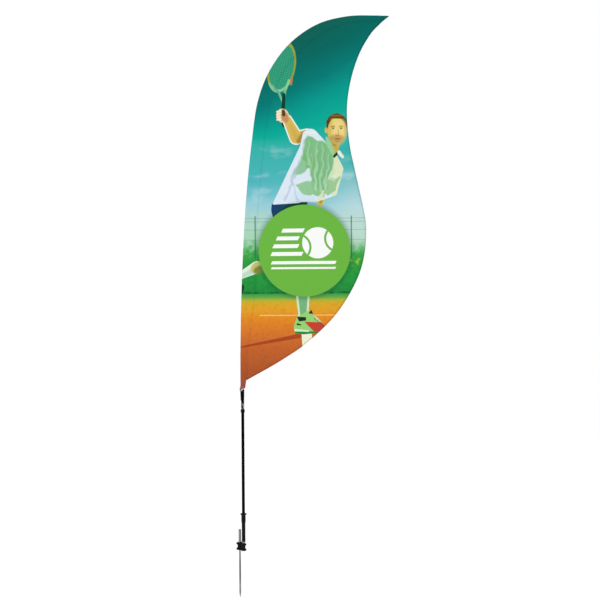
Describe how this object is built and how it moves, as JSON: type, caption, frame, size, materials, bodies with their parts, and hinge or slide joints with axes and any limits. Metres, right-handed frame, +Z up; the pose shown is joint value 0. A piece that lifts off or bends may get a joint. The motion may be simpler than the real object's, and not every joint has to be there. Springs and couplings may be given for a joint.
{
  "type": "feather flag with pole",
  "caption": "Double-sided sabre-shaped feather flag sleeved on a curved plug-together pole that turns in a socket on a ground stake.",
  "frame": {"origin": "on the axis that the pole turns about, at the underside of the hub, which is ground level", "axes": "+Z up along the pole, +X from the pole towards the flag's free edge, -Y out of the flag's front"},
  "size_m": [0.8053, 0.0583, 2.993],
  "materials": {
    "zinc_steel": "zinc-plated, satin",
    "bright_steel": "bright plated",
    "black_plastic": "moulded, satin",
    "nylon": "natural nylon",
    "pole_tube": "black, satin",
    "printed_cloth": "dye-printed knitted polyester",
    "liner_cloth": "dark blockout cloth",
    "webbing": "woven polyester webbing",
    "elastic_cord": "braided cover over rubber"
  },
  "bodies": {
    "ground_base": {"ground_stake": "zinc_steel", "driving_head": "zinc_steel", "stake_washer": "bright_steel", "hub": "black_plastic", "spindle_pin": "bright_steel", "spindle_nut": "zinc_steel", "thrust_washer": "nylon", "retaining_clip": "bright_steel"},
    "turning_socket": {"lower_bush": "nylon", "upper_bush": "nylon", "socket_tube": "black_plastic", "socket_collar": "black_plastic"},
    "lower_pole": {"pole_end_plug": "black_plastic", "pole_section_1": "pole_tube", "ferrule_1": "pole_tube"},
    "flag_pole": {"stop_ring_1": "black_plastic", "pole_section_2": "pole_tube", "ferrule_2": "pole_tube", "stop_ring_2": "black_plastic", "pole_section_3": "pole_tube", "ferrule_3": "pole_tube", "stop_ring_3": "black_plastic", "pole_section_4": "pole_tube", "tip_cap": "black_plastic", "pole_sleeve": "printed_cloth", "flag_front_panel": "printed_cloth", "blockout_liner": "liner_cloth", "flag_back_panel": "printed_cloth", "edge_hem": "printed_cloth", "tip_patch": "printed_cloth", "tail_webbing": "webbing", "tension_cord": "elastic_cord"},
    "tension_clip": {"tension_link": "bright_steel", "pole_clip": "black_plastic"}
  },
  "joints": [
    {"name": "pole_spin", "type": "hinge", "parent": "ground_base", "child": "turning_socket", "pos_m": [0, 0, 0.05], "axis": [0, 0, 1], "continuous": true},
    {"name": "pole_lift_out", "type": "slide", "parent": "turning_socket", "child": "lower_pole", "axis": [0, 0, 1], "range_m": [0, 0.06]},
    {"name": "upper_pole_pull_off", "type": "slide", "parent": "lower_pole", "child": "flag_pole", "axis": [0, 0, 1], "range_m": [0, 0.08]},
    {"name": "clip_slide", "type": "slide", "parent": "flag_pole", "child": "tension_clip", "axis": [0, 0, 1], "range_m": [-0.03, 0.03], "deforming": ["tension_cord"]}
  ]
}
